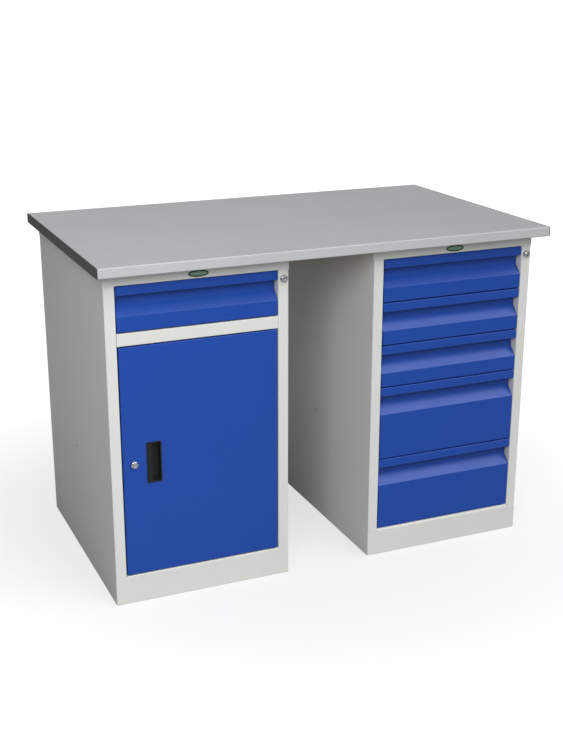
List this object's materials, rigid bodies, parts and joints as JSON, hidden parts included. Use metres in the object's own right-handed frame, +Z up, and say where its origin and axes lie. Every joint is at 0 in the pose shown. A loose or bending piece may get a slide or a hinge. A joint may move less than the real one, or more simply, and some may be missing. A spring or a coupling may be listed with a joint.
{
  "type": "workbench",
  "caption": "Double-pedestal workshop bench: a steel-faced worktop on a cupboard with a drawer and on a drawer unit, with grip-fold fronts, cam locks and a kneehole.",
  "frame": {"origin": "on the floor, under the middle of the worktop", "axes": "+Z up; the drawer and door fronts face -Y; +X runs along the worktop from the cupboard to the drawer unit"},
  "size_m": [1.2, 0.72, 0.865],
  "materials": {
    "grey_paint": "satin powder coat",
    "blue_paint": "satin powder coat",
    "worktop_steel": "satin",
    "worktop_board": "raw fibreboard",
    "dark_edging": "satin",
    "black_plastic": "satin",
    "chrome_plate": "polished",
    "zinc_plate": "zinc plated"
  },
  "bodies": {
    "cabinet": {"worktop_cover": "worktop_steel", "worktop_core": "worktop_board", "worktop_end_band_left": "dark_edging", "worktop_end_band_right": "dark_edging", "cupboard_side_left": "grey_paint", "cupboard_side_right": "grey_paint", "cupboard_back": "grey_paint", "cupboard_floor": "grey_paint", "cupboard_plinth": "grey_paint", "cupboard_cap": "grey_paint", "cupboard_mid_rail": "grey_paint", "cupboard_shelf": "grey_paint", "cupboard_shelf_bracket_left": "zinc_plate", "cupboard_shelf_bracket_right": "zinc_plate", "cupboard_drawer_runner_left": "zinc_plate", "cupboard_drawer_runner_right": "zinc_plate", "cupboard_lock_barrel": "chrome_plate", "cupboard_lock_nut": "zinc_plate", "drawer_unit_side_left": "grey_paint", "drawer_unit_side_right": "grey_paint", "drawer_unit_back": "grey_paint", "drawer_unit_floor": "grey_paint", "drawer_unit_plinth": "grey_paint", "drawer_unit_cap": "grey_paint", "drawer1_runner_left": "zinc_plate", "drawer1_runner_right": "zinc_plate", "drawer2_runner_left": "zinc_plate", "drawer2_runner_right": "zinc_plate", "drawer3_runner_left": "zinc_plate", "drawer3_runner_right": "zinc_plate", "drawer4_runner_left": "zinc_plate", "drawer4_runner_right": "zinc_plate", "drawer5_runner_left": "zinc_plate", "drawer5_runner_right": "zinc_plate", "drawer_unit_lock_barrel": "chrome_plate", "drawer_unit_lock_nut": "zinc_plate", "bar_guide_upper": "zinc_plate", "bar_guide_lower": "zinc_plate"},
    "cupboard_drawer": {"cupboard_drawer_front": "blue_paint", "cupboard_drawer_tray": "grey_paint"},
    "drawer1": {"drawer1_front": "blue_paint", "drawer1_tray": "grey_paint"},
    "drawer2": {"drawer2_front": "blue_paint", "drawer2_tray": "grey_paint"},
    "drawer3": {"drawer3_front": "blue_paint", "drawer3_tray": "grey_paint"},
    "drawer4": {"drawer4_front": "blue_paint", "drawer4_tray": "grey_paint"},
    "drawer5": {"drawer5_front": "blue_paint", "drawer5_tray": "grey_paint"},
    "door": {"door_panel": "blue_paint", "door_handle": "black_plastic", "door_stud_lower": "blue_paint", "door_stud_upper": "blue_paint", "door_lock_barrel": "chrome_plate", "door_lock_nut": "zinc_plate"},
    "door_lock_plug": {"door_lock_cam": "chrome_plate"},
    "cupboard_lock_plug": {"cupboard_lock_cam": "chrome_plate"},
    "drawer_unit_lock_plug": {"drawer_unit_lock_cam": "chrome_plate"},
    "locking_bar": {"locking_bar": "zinc_plate"}
  },
  "joints": [
    {"name": "cupboard_drawer_slide", "type": "slide", "parent": "cabinet", "child": "cupboard_drawer", "axis": [0, -1, 0], "range_m": [0, 0.45]},
    {"name": "drawer1_slide", "type": "slide", "parent": "cabinet", "child": "drawer1", "axis": [0, -1, 0], "range_m": [0, 0.45]},
    {"name": "drawer2_slide", "type": "slide", "parent": "cabinet", "child": "drawer2", "axis": [0, -1, 0], "range_m": [0, 0.45]},
    {"name": "drawer3_slide", "type": "slide", "parent": "cabinet", "child": "drawer3", "axis": [0, -1, 0], "range_m": [0, 0.45]},
    {"name": "drawer4_slide", "type": "slide", "parent": "cabinet", "child": "drawer4", "axis": [0, -1, 0], "range_m": [0, 0.45]},
    {"name": "drawer5_slide", "type": "slide", "parent": "cabinet", "child": "drawer5", "axis": [0, -1, 0], "range_m": [0, 0.45]},
    {"name": "door_hinge", "type": "hinge", "parent": "cabinet", "child": "door", "pos_m": [-0.155, -0.307, 0.0773], "axis": [0, 0, 1], "range_deg": [0, 110]},
    {"name": "door_lock_turn", "type": "hinge", "parent": "door", "child": "door_lock_plug", "pos_m": [-0.518, -0.3135, 0.3673], "axis": [0, 1, 0], "range_deg": [0, 90]},
    {"name": "cupboard_lock_turn", "type": "hinge", "parent": "cabinet", "child": "cupboard_lock_plug", "pos_m": [-0.1295, -0.3135, 0.788], "axis": [0, 1, 0], "range_deg": [0, 90]},
    {"name": "drawer_unit_lock_turn", "type": "hinge", "parent": "cabinet", "child": "drawer_unit_lock_plug", "pos_m": [0.5625, -0.3135, 0.788], "axis": [0, -1, 0], "range_deg": [0, 90]},
    {"name": "locking_bar_slide", "type": "slide", "parent": "cabinet", "child": "locking_bar", "axis": [-1, 0, 0], "range_m": [0, 0.008]}
  ],
  "couplings": [
    {"joint": "drawer_unit_lock_turn", "follows": "locking_bar_slide", "rad_per_m": 196.35}
  ]
}
